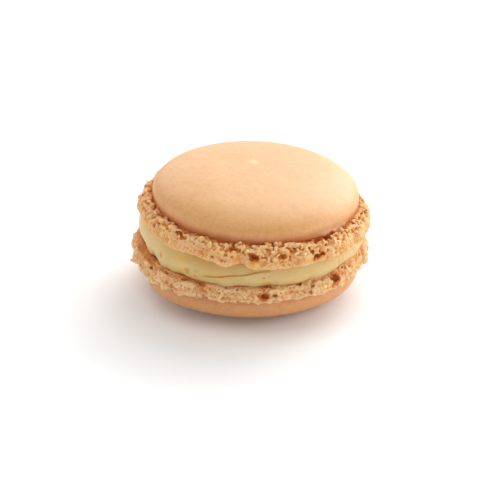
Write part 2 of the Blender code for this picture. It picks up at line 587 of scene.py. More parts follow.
class NodeBook:
    """Short ways to write the nodes of one material."""

    MIX_INPUTS = (6, 7)  # the mix node's two colour sockets
    MIX_OUTPUT = 2  # its mixed colour

    def __init__(self, name: str) -> None:
        """Start a material with an empty shader.

        Args:
            name: the material's name.
        """
        self.material = bpy.data.materials.new(name)
        self.material.use_nodes = True
        self.tree = self.material.node_tree
        self.shader = self.tree.nodes["Principled BSDF"]
        coords = self.tree.nodes.new("ShaderNodeTexCoord")
        self.place = coords.outputs["Object"]

    def link(self, source: bpy.types.NodeSocket, target: bpy.types.NodeSocket) -> None:
        """Join an output to an input."""
        self.tree.links.new(source, target)

    def set(self, **values: float | tuple) -> None:
        """Set the shader's own sockets; a name's underscores stand for spaces."""
        for key, value in values.items():
            self.shader.inputs[key.replace("_", " ")].default_value = value

    def value_of(self, name: str) -> bpy.types.NodeSocket:
        """Read one of the mesh's named values.

        Args:
            name: the value's name.

        Returns:
            The value at each place.
        """
        node = self.tree.nodes.new("ShaderNodeAttribute")
        node.attribute_name = name
        return node.outputs["Fac"]

    def noise(self, size: float, detail: float = 3.0, rough: float = 0.55) -> bpy.types.NodeSocket:
        """Make cloudy noise.

        Args:
            size: about how large its bumps are, in metres.
            detail: how many finer layers it has.
            rough: how strong they are.

        Returns:
            The noise, from 0 to 1.
        """
        node = self.tree.nodes.new("ShaderNodeTexNoise")
        node.inputs["Scale"].default_value = 1.0 / size
        node.inputs["Detail"].default_value = detail
        node.inputs["Roughness"].default_value = rough
        self.link(self.place, node.inputs["Vector"])
        return node.outputs["Fac"]

    def specks(self, size: float) -> bpy.types.NodeSocket:
        """Strew specks.

        Args:
            size: about how far apart they are, in metres.

        Returns:
            The distance to the nearest speck, as a share of the size.
        """
        node = self.tree.nodes.new("ShaderNodeTexVoronoi")
        node.inputs["Scale"].default_value = 1.0 / size
        self.link(self.place, node.inputs["Vector"])
        return node.outputs["Distance"]

    def fit(
        self,
        source: bpy.types.NodeSocket,
        low: float,
        high: float,
        to: tuple[float, float] = (0.0, 1.0),
    ) -> bpy.types.NodeSocket:
        """Stretch a range of values to another, and stop at its ends.

        Args:
            source: the values.
            low: start of the range.
            high: end of the range.
            to: start and end of the new range.

        Returns:
            The stretched values.
        """
        node = self.tree.nodes.new("ShaderNodeMapRange")
        node.inputs["From Min"].default_value = low
        node.inputs["From Max"].default_value = high
        node.inputs["To Min"].default_value = to[0]
        node.inputs["To Max"].default_value = to[1]
        self.link(source, node.inputs["Value"])
        return node.outputs["Result"]

    def add(self, a: bpy.types.NodeSocket, b: bpy.types.NodeSocket) -> bpy.types.NodeSocket:
        """Add two values.

        Args:
            a: first value.
            b: second value.

        Returns:
            Their sum.
        """
        node = self.tree.nodes.new("ShaderNodeMath")
        node.operation = "ADD"
        self.link(a, node.inputs[0])
        self.link(b, node.inputs[1])
        return node.outputs["Value"]

    def mix(
        self,
        share: bpy.types.NodeSocket,
        a: bpy.types.NodeSocket | Colour,
        b: bpy.types.NodeSocket | Colour,
    ) -> bpy.types.NodeSocket:
        """Mix two colours.

        Args:
            share: how much of the second colour there is.
            a: first colour.
            b: second colour.

        Returns:
            The mixed colour.
        """
        node = self.tree.nodes.new("ShaderNodeMix")
        node.data_type = "RGBA"
        self.link(share, node.inputs["Factor"])
        for number, colour in zip(self.MIX_INPUTS, (a, b)):
            socket = node.inputs[number]
            if isinstance(colour, tuple):
                socket.default_value = (*colour, 1.0)
            else:
                self.link(colour, socket)
        return node.outputs[self.MIX_OUTPUT]

    def bump(
        self,
        height: bpy.types.NodeSocket,
        depth: float,
        before: bpy.types.NodeSocket | None = None,
    ) -> bpy.types.NodeSocket:
        """Raise the surface.

        Args:
            height: how far, from 0 to 1.
            depth: what 1 stands for, in metres.
            before: the bumps that these come on top of.

        Returns:
            The raised surface's normal.
        """
        node = self.tree.nodes.new("ShaderNodeBump")
        node.inputs["Distance"].default_value = depth
        self.link(height, node.inputs["Height"])
        if before is not None:
            self.link(before, node.inputs["Normal"])
        return node.outputs["Normal"]

    def finish(self, colour: bpy.types.NodeSocket, normal: bpy.types.NodeSocket) -> bpy.types.Material:
        """Send colour and normal to the shader.

        Args:
            colour: the colour.
            normal: the normal.

        Returns:
            The finished material.
        """
        self.link(colour, self.shader.inputs["Base Color"])
        self.link(normal, self.shader.inputs["Normal"])
        return self.material


@dataclass(frozen=True)
class BakedSkin:
    """The smooth, satin skin of a dome, faintly mottled and speckled by ground almonds, with painted
    shade at its lower edge, painted light low on its side and a painted highlight on its peak.
    """

    name: str
    pale: Colour = (0.64, 0.34, 0.125)
    warm: Colour = (0.60, 0.315, 0.10)
    # Painted shade: the deep brown towards the dome's lower edge, where it meets the foot.
    rim_painted_shade: Colour = (0.46, 0.13, 0.035)
    speck: Colour = (0.40, 0.17, 0.05)
    freckle: Colour = (0.52, 0.24, 0.075)
    # Painted highlight on the piping bag's little peak.
    nib_and_highlight: Colour = (0.78, 0.50, 0.24)
    # Painted light: a lighter, slightly warmer colour low on the dome's side.
    lower_painted_light: Colour = (0.722, 0.36, 0.132)
    roughness: float = 0.42

    def material(self) -> bpy.types.Material:
        """Write the finish's nodes.

        Returns:
            The material.
        """
        book = NodeBook(self.name)
        cloud = book.fit(book.noise(6.0 * MM), 0.35, 0.68)
        colour = book.mix(cloud, self.pale, self.warm)
        # Painted light on the lower part of the dome's side.
        colour = book.mix(book.value_of("lower_painted_light"), colour, self.lower_painted_light)
        blotch = book.fit(book.noise(1.5 * MM), 0.50, 0.70, (0.0, 0.28))
        colour = book.mix(blotch, colour, self.freckle)
        fine = book.fit(book.noise(0.5 * MM), 0.46, 0.70, (0.0, 0.42))
        colour = book.mix(fine, colour, self.freckle)
        dots = book.fit(book.specks(1.5 * MM), 0.05, 0.11, (0.65, 0.0))
        colour = book.mix(dots, colour, self.speck)
        # Painted shade along the dome's lower edge, by the foot.
        colour = book.mix(book.value_of("rim"), colour, self.rim_painted_shade)
        # Painted highlight on the piping bag's little peak.
        colour = book.mix(book.value_of("nib_and_highlight"), colour, self.nib_and_highlight)
        book.set(
            Roughness=self.roughness,
            Subsurface_Weight=0.25,
            Subsurface_Scale=0.9 * MM,
            Subsurface_Radius=(1.0, 0.45, 0.2),
            Specular_IOR_Level=0.48,
        )
        normal = book.bump(book.noise(0.28 * MM), 0.016 * MM)
        normal = book.bump(book.noise(1.6 * MM, 2.0), 0.03 * MM, normal)
        normal = book.bump(book.fit(book.specks(1.5 * MM), 0.04, 0.12), 0.02 * MM, normal)
        return book.finish(colour, normal)


@dataclass(frozen=True)
class TornCrumb:
    """Dry, torn meringue foam: pale on its crumbs, and darker and browner in its pits and crevices,
    which is painted shade with some of the deeper bake of its hollows.
    """

    name: str
    pale: Colour = (0.76, 0.508, 0.26)
    # Mid brown: painted shade in shallow hollows, and the fine grain specks.
    mid: Colour = (0.69, 0.315, 0.09)
    # Deep brown: painted shade in the deepest pits, holes and pores.
    deep: Colour = (0.56, 0.135, 0.018)
    golden: Colour = (0.84, 0.50, 0.12)
    roughness: float = 0.78

    def material(self) -> bpy.types.Material:
        """Write the finish's nodes.

        Returns:
            The material.
        """
        book = NodeBook(self.name)
        # Painted shade: darker and browner the deeper a place lies among the foam.
        painted_pit_shade = book.value_of("painted_pit_shade")
        tone = book.fit(book.noise(1.4 * MM), 0.3, 0.7, (-0.10, 0.07))
        painted_pit_shade = book.add(painted_pit_shade, tone)
        colour = book.mix(book.fit(painted_pit_shade, 0.22, 0.52), self.pale, self.mid)
        colour = book.mix(book.fit(painted_pit_shade, 0.46, 0.80), colour, self.deep)
        gold = book.fit(book.noise(2.6 * MM, 2.0), 0.62, 0.74, (0.0, 0.45))
        colour = book.mix(gold, colour, self.golden)
        colour = book.mix(book.value_of("gold"), colour, self.golden)
        fine = book.fit(book.specks(0.42 * MM), 0.06, 0.22, (0.45, 0.0))
        colour = book.mix(fine, colour, self.mid)
        # Painted shade: dark dots that stand for tiny pores.
        pores = book.fit(book.specks(1.1 * MM), 0.05, 0.13, (0.75, 0.0))
        colour = book.mix(pores, colour, self.deep)
        book.set(
            Roughness=self.roughness,
            Subsurface_Weight=0.5,
            Subsurface_Scale=0.8 * MM,
            Subsurface_Radius=(1.0, 0.5, 0.2),
            Specular_IOR_Level=0.3,
        )
        normal = book.bump(book.noise(0.22 * MM, 3.0, 0.65), 0.07 * MM)
        normal = book.bump(book.fit(book.specks(0.42 * MM), 0.02, 0.3), 0.04 * MM, normal)
        return book.finish(colour, normal)


@dataclass(frozen=True)
class SpreadCream:
    """Soft butter cream, straw yellow, with a few tan smudges of almond, and painted shade under the
    upper shell and along its fold.
    """

    name: str
    pale: Colour = (0.66, 0.48, 0.208)
    deep: Colour = (0.62, 0.435, 0.167)
    golden: Colour = (0.76, 0.48, 0.12)
    # Tan of almond specks, also used for painted shade under the upper shell and along the fold, and for
    # darker dents.
    stain_and_painted_shade: Colour = (0.58, 0.30, 0.055)
    roughness: float = 0.42

    def material(self) -> bpy.types.Material:
        """Write the finish's nodes.

        Returns:
            The material.
        """
        book = NodeBook(self.name)
        cloud = book.fit(book.noise(3.5 * MM), 0.35, 0.7)
        colour = book.mix(cloud, self.pale, self.deep)
        patches = book.fit(book.noise(1.8 * MM), 0.52, 0.70, (0.0, 0.6))
        colour = book.mix(patches, colour, self.golden)
        dots = book.fit(book.specks(0.9 * MM), 0.07, 0.16, (0.4, 0.0))
        colour = book.mix(dots, colour, self.stain_and_painted_shade)
        # Painted shade under the upper shell and along the fold, and the darker dents.
        colour = book.mix(book.value_of("stain_and_painted_shade"), colour, self.stain_and_painted_shade)
        book.set(
            Roughness=self.roughness,
            Subsurface_Weight=0.35,
            Subsurface_Scale=1.4 * MM,
            Subsurface_Radius=(1.0, 0.7, 0.3),
            Specular_IOR_Level=0.4,
        )
        normal = book.bump(book.noise(0.3 * MM), 0.04 * MM)
        normal = book.bump(book.noise(1.1 * MM, 2.0), 0.08 * MM, normal)
        return book.finish(colour, normal)


@dataclass(frozen=True)
class PaleFloor:
    """The plain, nearly white table."""

    name: str = "pale_floor"
    pale: Colour = (0.93, 0.93, 0.93)
    shade: Colour = (0.91, 0.91, 0.91)

    def material(self) -> bpy.types.Material:
        """Write the finish's nodes.

        Returns:
            The material.
        """
        book = NodeBook(self.name)
        colour = book.mix(book.noise(60.0 * MM, 2.0), self.pale, self.shade)
        book.set(Roughness=0.7, Specular_IOR_Level=0.2)
        return book.finish(colour, book.bump(book.noise(2.0 * MM, 2.0), 0.002 * MM))


# ---------------------------------------------------------------------------------------------
# The parts of a shell


@dataclass(frozen=True)
class Seat:
    """Where a shell sits: its middle, the height of its seat, how it leans and which way up."""

    x: float
    z: float
    lean: float
    shell: Shell

    def matrix(self) -> Matrix:
        """Work out the move from the shell's own space to the cookie's.

        Returns:
            The move.
        """
        turn = Matrix.Rotation(self.lean, 4, "Y")
        if self.shell is Shell.BOTTOM:
            turn = Matrix.Rotation(math.pi, 4, "X")
        return Matrix.Translation((self.x, 0.0, self.z)) @ turn


@dataclass(frozen=True)
class Bulge:
    """A slow swelling of a part's rim: degrees round and lengths in millimetres.

    The middle and spread are degrees. Push moves the rim out, upper raises its upper edge and
    lower raises its lower edge. Upper is the dome's side of a shell and lower is the seat's.
    """

    middle: float
    spread: float
    push: float = 0.0
    upper: float = 0.0
    lower: float = 0.0

    def share(self, angle: np.ndarray) -> np.ndarray:
        """How much of the swelling there is at each angle."""
        away = angle_gap(angle, math.radians(self.middle)) / math.radians(self.spread)
        return np.exp(-away * away)


def swelling(bulges: Sequence[Bulge], angle: np.ndarray) -> tuple[np.ndarray, np.ndarray, np.ndarray]:
    """Add up bulges.

    Args:
        bulges: the bulges.
        angle: way round.

    Returns:
        How far they push, raise the upper edge and raise the lower edge, in metres.
    """
    push = np.zeros_like(angle)
    upper = np.zeros_like(angle)
    lower = np.zeros_like(angle)
    for bulge in bulges:
        share = MM * bulge.share(angle)
        push = push + bulge.push * share
        upper = upper + bulge.upper * share
        lower = lower + bulge.lower * share
    return push, upper, lower


@dataclass(frozen=True)
class Spot:
    """A hole or crumb at a known place on a foot's skin, in millimetres and degrees.

    The angle is the way round the cookie. The tilt is the way up the foot's section from its
    middle: 0 is straight out, 90 is straight up. The sizes are half sizes round, outwards and
    up, and sink says how deep under the skin the middle lies. Gold says how yellow it is, and
    shade how much painted shade darkens a hole inside.
    """

    angle: float
    tilt: float
    sizes: tuple[float, float, float]
    sink: float = 0.0
    mark: Mark = Mark.HOLE
    gold: float = 0.0
    shade: float = 0.15


@dataclass
class Dome:
    """A shell's smooth dome, with a skirt that runs down inside the foot.

    The dome rises from a short upright wall on the foot as a round whose power says how square
    its shoulder is. Flat is the radius of the level spot at its top. The little peak that the
    piping bag left, which also carries a painted highlight, is given by its place and its two half
    sizes. Bulges move the side, and flakes are where the skin is frayed. The tuck is how far the
    lower edge turns in, and the underside is hidden in the foot.
    """

    name: str
    node: str
    radius: float
    foot_height: float
    rise: float
    power: float
    wall: float = 0.0
    flat: float = 0.0
    nib_and_highlight: tuple[float, float, float, float] | None = None
    bulges: tuple[Bulge, ...] = ()
    flakes: tuple[Bulge, ...] = ()
    seed: int = 3
    around: int = 720
    dome_rings: int = 96
    wall_rings: int = 12
    tuck_rings: int = 8
    tuck: float = 0.42 * MM
    tuck_drop: float = 0.8 * MM
    underside: float = 0.35 * MM

    def profile(self) -> np.ndarray:
        """Draw the outline from the top of the dome to its hidden underside.

        Returns:
            Radius and height of each ring.
        """
        top = self.foot_height + self.wall
        t = np.linspace(0.0, 0.5 * math.pi, self.dome_rings)
        r = self.radius * np.sin(t) ** (2.0 / self.power)
        z = top + self.rise * np.clip(np.cos(t), 0.0, 1.0) ** (2.0 / self.power)
        level = top + self.rise * (1.0 - (self.flat / self.radius) ** self.power) ** (1.0 / self.power)
        z = np.minimum(z, level)
        rings = [np.stack([r, z], axis=1)]
        if self.wall > 0.0:
            down = np.linspace(top, self.foot_height, self.wall_rings)[1:]
            rings.append(np.stack([np.full_like(down, self.radius), down], axis=1))
        turn = np.linspace(0.0, 0.5 * math.pi, self.tuck_rings)[1:]
        tuck_r = self.radius - self.tuck * (1.0 - np.cos(turn))
        tuck_z = self.foot_height - self.tuck_drop * np.sin(turn)
        rings.append(np.stack([tuck_r, tuck_z], axis=1))
        core = self.radius - self.tuck
        rings.append(np.array([[part * core, self.underside] for part in (1.0, 0.5, 0.0)]))
        return np.concatenate(rings)

    def build(self, seat: Seat) -> bpy.types.Object:
        """Turn the profile, make it slightly uneven, and place it.

        Args:
            seat: where the shell sits.

        Returns:
            The dome.
        """
        outline = self.profile()
        steps = np.linalg.norm(np.diff(outline, axis=0), axis=1)
        along = np.concatenate([[0.0], np.cumsum(steps)])
        along /= along[-1]
        inner = outline[1:-1]
        a = np.arange(self.around) * TURN / self.around
        r = np.repeat(inner[:, 0], self.around)
        z = np.repeat(inner[:, 1], self.around)
        angle = np.tile(a, len(inner))
        places = np.stack([r * np.cos(angle), r * np.sin(angle), z], axis=1)
        places = np.concatenate([[[0.0, 0.0, outline[0, 1]]], places, [[0.0, 0.0, outline[-1, 1]]]])
        places = self._uneven(places)
        faces = turned_faces(len(inner), self.around)
        values = self._values(places)
        spread = np.concatenate([[0.0], np.repeat(along[1:-1], self.around), [1.0]])
        way = np.concatenate([[0.0], angle, [0.0]])
        flat = 0.5 + 0.49 * np.stack([spread * np.cos(way), spread * np.sin(way)], axis=1)
        skin = Skin(places, faces, values, flat[faces].reshape(-1, 2))
        return skin.as_object(self.name, seat.matrix())

    def _uneven(self, places: np.ndarray) -> np.ndarray:
        """Give the dome the slow dips and swells of a baked skin.

        Args:
            places: the dome's places.

        Returns:
            The moved places.
        """
        noise = SmoothNoise(self.seed)
        r = np.hypot(places[:, 0], places[:, 1])
        share = smooth_step(0.5 * self.foot_height, self.foot_height, places[:, 2])
        if self.flat > 0.0:
            share = share * smooth_step(self.flat, self.flat + 4.0 * MM, r)
        slow = noise.at(places, 9.0 * MM) * 0.10 * MM + noise.at(places, 3.5 * MM) * 0.022 * MM
        side = smooth_step(0.8 * self.radius, self.radius, r)
        out = np.where(r > TINY, 1.0 + share * side * slow / np.maximum(r, TINY), 1.0)
        places = places.copy()
        places[:, 0] *= out
        places[:, 1] *= out
        places[:, 2] += share * (1.0 - side) * slow
        if self.nib_and_highlight is not None:
            places[:, 2] += 0.07 * MM * self._nib_share(places)
        return self._push_rim(places)

    def _push_rim(self, places: np.ndarray) -> np.ndarray:
        """Swell the dome's side where it isn't round, and fray the skin at its lower edge.

        Args:
            places: the dome's places.

        Returns:
            The moved places.
        """
        angle = np.arctan2(places[:, 1], places[:, 0])
        radius = np.hypot(places[:, 0], places[:, 1])
        push, _, _ = swelling(self.bulges, angle)
        side = smooth_step(0.55 * self.radius, 0.97 * self.radius, radius)
        move = push * side * (places[:, 2] > 0.5 * self.foot_height)
        fray, _, _ = swelling(self.flakes, angle)
        low = self.foot_height - 0.15 * MM
        edge = smooth_step(low - 0.35 * MM, low, places[:, 2])
        edge *= 1.0 - smooth_step(low + 0.15 * MM, low + 0.85 * MM, places[:, 2])
        noise = SmoothNoise(self.seed + 5)
        ragged = 1.0 + 0.9 * noise.layers(places, 0.7 * MM, 2)
        move = move + fray * edge * ragged
        grow = 1.0 + np.where(radius > TINY, move / np.maximum(radius, TINY), 0.0)
        places = places.copy()
        places[:, :2] *= grow[:, None]
        return places

    def _nib_share(self, places: np.ndarray) -> np.ndarray:
        """Find the little peak that the piping bag left, where a highlight is painted too.

        Args:
            places: the dome's places.

        Returns:
            How far each place belongs to it, from 0 to 1.
        """
        x, y, wide, deep = self.nib_and_highlight
        away = ((places[:, 0] - x) / wide) ** 2 + ((places[:, 1] - y) / deep) ** 2
        return np.exp(-away) * (places[:, 2] > self.foot_height)

    def _values(self, places: np.ndarray) -> dict[str, np.ndarray]:
        """Work out the named values that the finish reads.

        Args:
            places: the dome's places.

        Returns:
            The values by name, one for each place.
        """
        # Painted shade: darker towards the dome's lower edge, where it meets the foot.
        edge = self.foot_height + 0.18 * MM * SmoothNoise(self.seed + 6).at(places, 1.1 * MM)
        rim = 0.85 * (1.0 - smooth_step(-0.35 * MM, 1.6 * MM, places[:, 2] - edge))
        # Where the painted highlight on the piping bag's little peak lies.
        nib_and_highlight = np.zeros(len(places))
        if self.nib_and_highlight is not None:
            nib_and_highlight = 0.75 * self._nib_share(places)
        # Painted light: lighter towards the lower part of the dome's side.
        low = self.foot_height + self.wall
        lower_painted_light = 1.0 - smooth_step(low + 1.4 * MM, low + 4.0 * MM, places[:, 2])
        return {"rim": rim, "nib_and_highlight": nib_and_highlight, "lower_painted_light": lower_painted_light}


@dataclass(frozen=True)
class Litter:
    """A kind of small mark that is strewn at random: half sizes in millimetres, kind and blend."""

    sizes: tuple[float, float]
    mark: Mark
    blend: float


NODULE = Litter((0.17, 0.36), Mark.CRUMB, 0.09 * MM)
RIDGE_CRUMB = Litter((0.24, 0.50), Mark.CRUMB, 0.12 * MM)
PIT = Litter((0.20, 0.40), Mark.HOLE, 0.10 * MM)
PORE = Litter((0.09, 0.18), Mark.HOLE, 0.05 * MM)


@dataclass(frozen=True)
class Crumble:
    """How a foot is torn.

    Start is the height where crumbs begin at the dome; it rises outwards and wanders. Crumb is
    the size of a crumb, and the depths say how far crumbs, the smooth band's dimples and clumps
    stand out. The last four say how many small marks are strewn.
    """

    start: float
    outward: float
    wander: float
    crumb: float
    depth: float
    band_depth: float
    clump: float
    nodules: int
    pits: int
    pores: int
    ridge: int


@dataclass
class Foot:
    """A shell's torn foot: a ring of foam, pitted, crumbly above and pressed smooth below.

    Outer is its radius before ruffles and bulges move the edge, fall is the change in height of
    its upper side at the edge, and power says how square its section is. The groove runs beside the
    dome and the seat groove beside the cream, with the changes that their bulges give. Flip says
    that the shell is built dome up but sits dome down. The skirt is how far the foam reaches in
    under the dome, core_in and groove_out are how far from the dome's edge the section starts
    and the groove lies, least_half is the least half height of the section, section_out says how
    far out its middle lies, and the rooms are the free space that the grid keeps around the foam.
    """

    name: str
    node: str
    dome_radius: float
    outer: float
    height: float
    ruffles: tuple[Ruffle, ...]
    bulges: tuple[Bulge, ...]
    spots: tuple[Spot, ...]
    smooth_stretches: tuple[Bulge, ...]
    crumble: Crumble
    groove: float
    groove_width: float
    seat_groove: float
    seat_groove_in: tuple[Bulge, ...]
    groove_changes: tuple[Bulge, ...]
    fall: float
    power: float
    flip: bool
    seed: int
    cream_radius: float
    pitch: float = 0.13 * MM
    skirt: float = 0.95 * MM
    core_in: float = 0.6 * MM
    groove_out: float = 0.45 * MM
    least_half: float = 0.3 * MM
    section_out: float = 0.9 * MM
    room_out: float = 1.5 * MM
    room_up: float = 1.6 * MM
    ease: float = 0.5
    ease_rounds: int = 2
    pit_low: float = 0.28
    pit_range: float = 0.5
    most_faces: int = 190000
    placed: list = field(default_factory=list)

    def build(self, seat: Seat) -> bpy.types.Object:
        """Grow the foam, skin it and place it.

        Args:
            seat: where the shell sits.

        Returns:
            The foot.
        """
        inner = self.dome_radius - self.skirt
        outer = self.outer + self.room_out
        block = RingBlock(inner, outer, -self.room_up, self.height + self.room_up, self.pitch)
        self._base(block)
        self._roughen(block)
        self._pierce(block)
        edge = block.radius[0] + 1.5 * self.pitch - block.radius
        block.field = np.maximum(block.field, edge[None, :, None].astype(np.float32))
        spots, faces = block.skin()
        keep = largest_body(len(spots), faces)
        faces = faces[keep[faces].all(axis=1)]
        number = np.cumsum(keep) - 1
        places = relax(block.to_space(spots[keep]), number[faces], self.ease, self.ease_rounds)
        skin = Skin(places, number[faces])
        return self._dress(block, skin, seat)

    def _wave(self, angle: np.ndarray) -> np.ndarray:
        """Add up the ruffles.

        Args:
            angle: way round.

        Returns:
            How far they push the edge out, in metres.
        """
        total = np.zeros_like(angle)
        for waves, push, start in self.ruffles:
            total = total + MM * push * np.sin(waves * angle + start)
        return total

    def _base(self, block: RingBlock) -> None:
        """Fill the field with the smooth, ruffled ring and the groove beside the dome.

        Args:
            block: the foam.
        """
        angle, radius, height = block.grids()
        noise = SmoothNoise(self.seed)
        places = block.places(np.ones(block.shape, bool))
        block.ragged = 0.42 * noise.layers(places - 0.017, 0.52 * MM, 2).reshape(block.shape)
        warp_out = noise.layers(places, 2.6 * MM, 2).reshape(block.shape) * 0.20 * MM
        warp_up = noise.layers(places + 0.031, 2.2 * MM, 2).reshape(block.shape) * 0.20 * MM
        push, upper, lower = swelling(self.bulges, angle)
        core = self.dome_radius - self.core_in
        reach = self.outer + self._wave(angle) + push - core
        out = np.clip((radius + warp_out - core) / reach, 0.0, None)
        share = np.minimum(out, 1.15) ** 2
        low = -0.06 * MM + lower * share
        high = self.height + 0.08 * MM + (upper + self.fall) * share
        middle = 0.5 * (low + high)
        half = np.maximum(0.5 * (high - low), self.least_half)
        groove_at = self.dome_radius + self.groove_out
        _, deeper, wider = swelling(self.groove_changes, angle)
        across = (radius - groove_at) / (self.groove_width + wider)
        uneven = np.clip(1.0 + 4.0 * warp_up / MM, 0.0, 2.0)
        groove = (self.groove + deeper) * uneven * np.exp(-(across**2))
        raised = smooth_step(0.0, half, height - middle) * groove
        raised = raised - smooth_step(0.0, half, middle - height) * self._beside_cream(angle, radius)
        up = np.abs(height + raised + warp_up * out - middle) / half
        size = np.maximum((out**self.power + up**self.power) ** (1.0 / self.power), 1e-3)
        steep_out = (out / size) ** (self.power - 1.0) / reach
        steep_up = (up / size) ** (self.power - 1.0) / half
        block.field = ((size - 1.0) / np.hypot(steep_out, steep_up)).astype(np.float32)

    def _beside_cream(self, angle: np.ndarray, radius: np.ndarray) -> np.ndarray:
        """Depth of the groove beside the cream.

        Args:
            angle: way round.
            radius: distance from the shell's axis.

        Returns:
            The depth, in metres.
        """
        inward, deeper, wider = swelling(self.seat_groove_in, angle)
        across = (radius - self.cream_radius - 0.30 * MM + inward) / (0.50 * MM + wider)
        return (self.seat_groove + deeper) * np.exp(-(across**2))

    def _crumbliness(self, places: np.ndarray) -> np.ndarray:
        """Work out how torn the foam is.

        Args:
            places: places in the foam.

        Returns:
            A share for each place, from 0 on smooth bands to 1.
        """
        angle = np.arctan2(places[:, 1], places[:, 0])
        radius = np.hypot(places[:, 0], places[:, 1])
        wander = SmoothNoise(self.seed + 9).at(places, 3.1 * MM)
        start = self.crumble.start + self.crumble.wander * wander
        start = start + self.crumble.outward * (radius - self.dome_radius)
        for stretch in self.smooth_stretches:
            start = start + MM * stretch.upper * stretch.share(angle)
        return smooth_step(0.0, 0.8 * MM, places[:, 2] - start)

    def _roughen(self, block: RingBlock) -> None:
        """Tear the skin into crumbs, and dimple the smooth band.

        Args:
            block: the foam.
        """
        near = np.abs(block.field) < 0.95 * MM
        places = block.places(near)
        torn = self._crumbliness(places)
        noise = SmoothNoise(self.seed + 1)
        cells = CellNoise(self.seed + 2)
        bend = [noise.at(places + 0.01 * n, 0.9 * MM) for n in range(3)]
        bent = places + 0.22 * MM * np.stack(bend, axis=1)
        size = self.crumble.crumb
        large = cells.rounds(bent, size)
        small = cells.rounds(bent + 0.017, 0.55 * size)
        huge = cells.rounds(bent + 0.031, 2.1 * MM)
        lumps = noise.layers(places, 1.5 * MM, 2)
        crumbs = self.crumble.depth * (large + 0.6 * small) + self.crumble.clump * huge
        band = self.crumble.band_depth * (large + 0.4 * small)
        change = torn * crumbs + (1.0 - torn) * band
        change += (0.10 + 0.08 * torn) * MM * lumps
        block.field[near] += change.astype(np.float32)

    def _pierce(self, block: RingBlock) -> None:
        """Open the pores and pits, and strew small crumbs on the torn parts.

        Args:
            block: the foam.
        """
        rng = np.random.default_rng(self.seed + 3)
        surface = np.argwhere(np.abs(block.field) < 0.7 * self.pitch)
        radii = block.radius[surface[:, 1]]
        shown = surface[radii > self.dome_radius + 0.1 * MM]
        torn = self._crumbliness(block.to_space(shown.astype(float)))
        rough = shown[torn > 0.5]
        even = shown[torn <= 0.5]
        self._strew(block, rng, rough, self.crumble.nodules, NODULE)
        out = block.radius[rough[:, 1]] - self.dome_radius
        ridge = rough[(out < 1.1 * MM) & (block.height[rough[:, 2]] > 0.6 * self.height)]
        self._strew(block, rng, ridge, self.crumble.ridge, RIDGE_CRUMB)
        self._strew(block, rng, rough, self.crumble.pits, PIT)
        self._strew(block, rng, even, self.crumble.pores, PORE)
        self.placed = []
        for spot in self.spots:
            turn = math.radians(-spot.angle if self.flip else spot.angle) % TURN
            sizes = [MM * s for s in spot.sizes]
            radius, height = self._on_skin(block, turn, math.radians(spot.tilt), MM * spot.sink)
            block.stamp((turn, radius, height), sizes, spot.mark, 0.06 * MM)
            middle = (radius * math.cos(turn), radius * math.sin(turn), height)
            self.placed.append((np.array(middle), 1.2 * max(sizes), spot))

    def _on_skin(self, block: RingBlock, turn: float, tilt: float, sink: float) -> tuple[float, float]:
        """Find the place on the foot's skin that a ray from its section's middle meets.

        Args:
            block: the foam.
            turn: way round.
            tilt: the ray's tilt.
            sink: how far under the skin the place lies.

        Returns:
            Radius and height of the place.
        """
        out, up = self._middle()
        far = np.arange(0.0, 6.0 * MM, 0.25 * block.pitch)
        way = np.full(len(far), turn)
        steps = block.to_steps(way, out + far * math.cos(tilt), up + far * math.sin(tilt))
        inside = np.flatnonzero(block.read(block.field, steps) < 0.0)
        reach = (far[inside[-1]] if len(inside) else 0.0) - sink
        return out + reach * math.cos(tilt), up + reach * math.sin(tilt)

    def _middle(self) -> tuple[float, float]:
        """Radius and height of the middle of the foot's section."""
        return self.dome_radius + self.section_out, 0.5 * self.height

    def _strew(
        self,
        block: RingBlock,
        rng: np.random.Generator,
        where: np.ndarray,
        count: int,
        kind: Litter,
    ) -> None:
        """Stamp many small marks at random spots.

        Args:
            block: the foam.
            rng: source of the random choices.
            where: grid numbers of the points to choose from.
            count: how many marks.
            kind: what is strewn.
        """
        if count == 0:
            return
        least, most = kind.sizes
        for i, j, k in where[rng.integers(0, len(where), count)]:
            size = MM * (least + (most - least) * rng.random() ** 2)
            radii = size * rng.uniform(0.75, 1.3, 3)
            j0, k0 = max(j - 1, 0), max(k - 1, 0)
            j1, k1 = min(j + 1, block.shape[1] - 1), min(k + 1, block.shape[2] - 1)
            outwards = block.field[i, j1, k] - block.field[i, j0, k]
            upwards = block.field[i, j, k1] - block.field[i, j, k0]
            away = np.array([outwards, upwards])
            away = away / max(np.linalg.norm(away), TINY)
            sink = 0.4 * size if kind.mark is Mark.CRUMB else 0.0
            shift = rng.uniform(-0.25, 0.25, 2) * size - sink * away
            spot = (block.angle[i], block.radius[j] + shift[0], block.height[k] + shift[1])
            block.stamp(spot, radii, kind.mark, kind.blend)

    def _dress(self, block: RingBlock, skin: Skin, seat: Seat) -> bpy.types.Object:
        """Thin the faces, work out the pits' shade and the flat map, and place the foot.

        Args:
            block: the foam.
            skin: its skin.
            seat: where the shell sits.

        Returns:
            The foot.
        """
        count = 2 * len(skin.faces)
        places, faces = self._thinned(skin)
        angle = np.arctan2(places[:, 1], places[:, 0])
        radius = np.hypot(places[:, 0], places[:, 1])
        steps = block.to_steps(angle % TURN, radius, places[:, 2])
        # Painted shade: darker in pits and crevices, and in the crevice against the dome.
        painted_pit_shade = self._pit_shade(block, steps)
